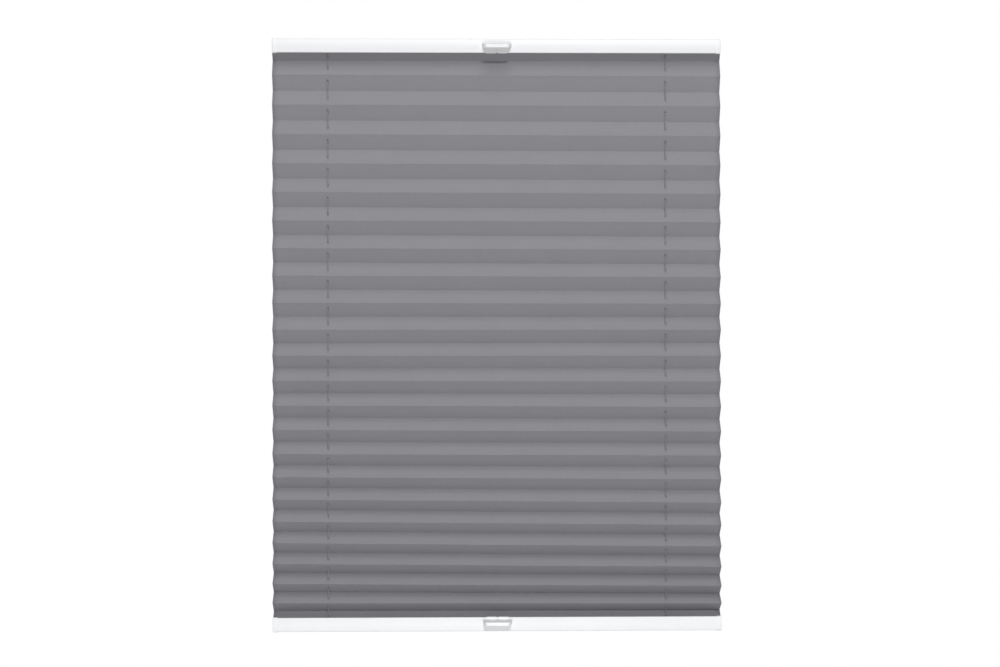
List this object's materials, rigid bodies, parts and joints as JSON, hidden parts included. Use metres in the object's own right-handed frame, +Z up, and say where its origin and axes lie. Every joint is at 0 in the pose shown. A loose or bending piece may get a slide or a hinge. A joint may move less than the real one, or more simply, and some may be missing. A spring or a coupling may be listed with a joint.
{
  "type": "pleated blind",
  "caption": "Pleated window blind with grey fabric between white upper and lower rails that slide by their handles on taut cords and stay where they are put.",
  "frame": {"origin": "middle of the upper rail's top face, midway between the two upper cord exits", "axes": "+Z up along the taut cords, +X to the right seen from the room, -Y towards the room"},
  "size_m": [0.501, 0.0319, 0.661],
  "materials": {
    "rail_white": "white powder coat, satin",
    "cap_white": "moulded, satin",
    "handle_white": "moulded, soft gloss",
    "strip_white": "extruded, matt",
    "guide_plastic": "moulded, matt",
    "eyelet_plastic": "moulded, smooth",
    "fabric_grey": "woven polyester, pleated, matt",
    "cord_grey": "braided polyester"
  },
  "bodies": {
    "cords_and_fabric": {"pleated_fabric": "fabric_grey", "cord_from_upper_left": "cord_grey", "cord_from_upper_right": "cord_grey"},
    "top_rail": {"top_rail": "rail_white", "top_handle": "handle_white", "top_fabric_strip": "strip_white", "top_left_end_cap": "cap_white", "top_left_cord_guide": "guide_plastic", "top_left_eyelet": "eyelet_plastic", "top_right_end_cap": "cap_white", "top_right_cord_guide": "guide_plastic", "top_right_eyelet": "eyelet_plastic"},
    "bottom_rail": {"bottom_rail": "rail_white", "bottom_handle": "handle_white", "bottom_fabric_strip": "strip_white", "bottom_left_end_cap": "cap_white", "bottom_left_cord_guide": "guide_plastic", "bottom_left_eyelet": "eyelet_plastic", "bottom_right_end_cap": "cap_white", "bottom_right_cord_guide": "guide_plastic", "bottom_right_eyelet": "eyelet_plastic"}
  },
  "joints": [
    {"name": "top_rail_slide", "type": "slide", "parent": "cords_and_fabric", "child": "top_rail", "axis": [0, 0, -1], "range_m": [0, 0.29], "deforming": ["pleated_fabric", "cord_from_upper_left", "cord_from_upper_right"]},
    {"name": "bottom_rail_slide", "type": "slide", "parent": "cords_and_fabric", "child": "bottom_rail", "axis": [0, 0, 1], "range_m": [0, 0.29], "deforming": ["pleated_fabric", "cord_from_upper_left", "cord_from_upper_right"]}
  ]
}
